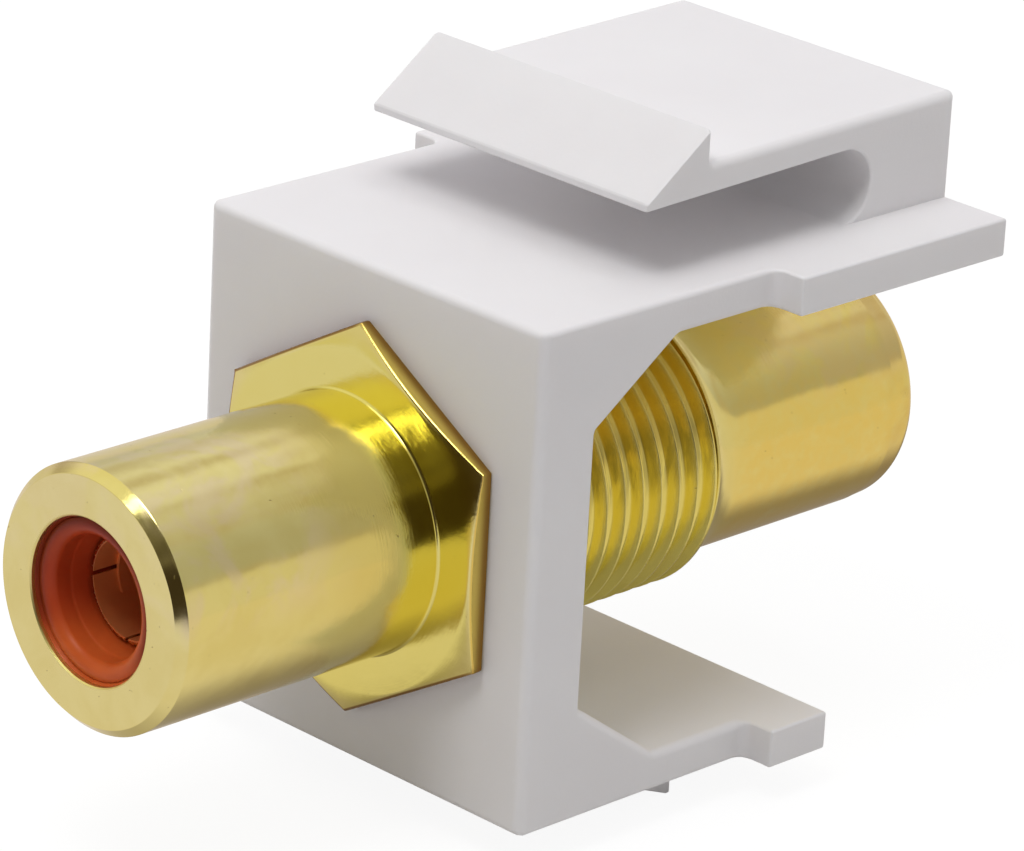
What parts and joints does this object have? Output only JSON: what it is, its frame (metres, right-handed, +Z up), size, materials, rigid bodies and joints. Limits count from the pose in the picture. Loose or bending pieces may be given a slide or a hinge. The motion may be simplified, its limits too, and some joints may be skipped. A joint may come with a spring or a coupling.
{
  "type": "rca keystone coupler",
  "caption": "Snap-in wall plate module: a moulded C-shaped housing with a sprung latch carries a gold-plated jack, socket to socket, with a hex flange.",
  "frame": {"origin": "on the jack's axis, in the plane of the housing's front face", "axes": "+X right as seen from the front, +Y from the front mouth to the rear mouth along the jack, +Z up, towards the latch"},
  "size_m": [0.017, 0.0314, 0.0217],
  "materials": {
    "housing_plastic": "satin white moulding",
    "gold_plated_brass": "bright gold plating on turned brass",
    "insulator_plastic": "glossy orange-red",
    "contact_brass": "gold-plated spring brass"
  },
  "bodies": {
    "coupler": {"keystone_housing": "housing_plastic", "jack_shell": "gold_plated_brass", "front_insulator": "insulator_plastic", "rear_insulator": "insulator_plastic", "centre_contact": "contact_brass"},
    "latch": {"latch_arm": "housing_plastic"}
  },
  "joints": [
    {"name": "latch_flex", "type": "hinge", "parent": "coupler", "child": "latch", "pos_m": [0, 0.01278, 0.01093], "axis": [1, 0, 0], "range_deg": [0, 16], "stiffness_Nm_per_rad": 0.5}
  ]
}
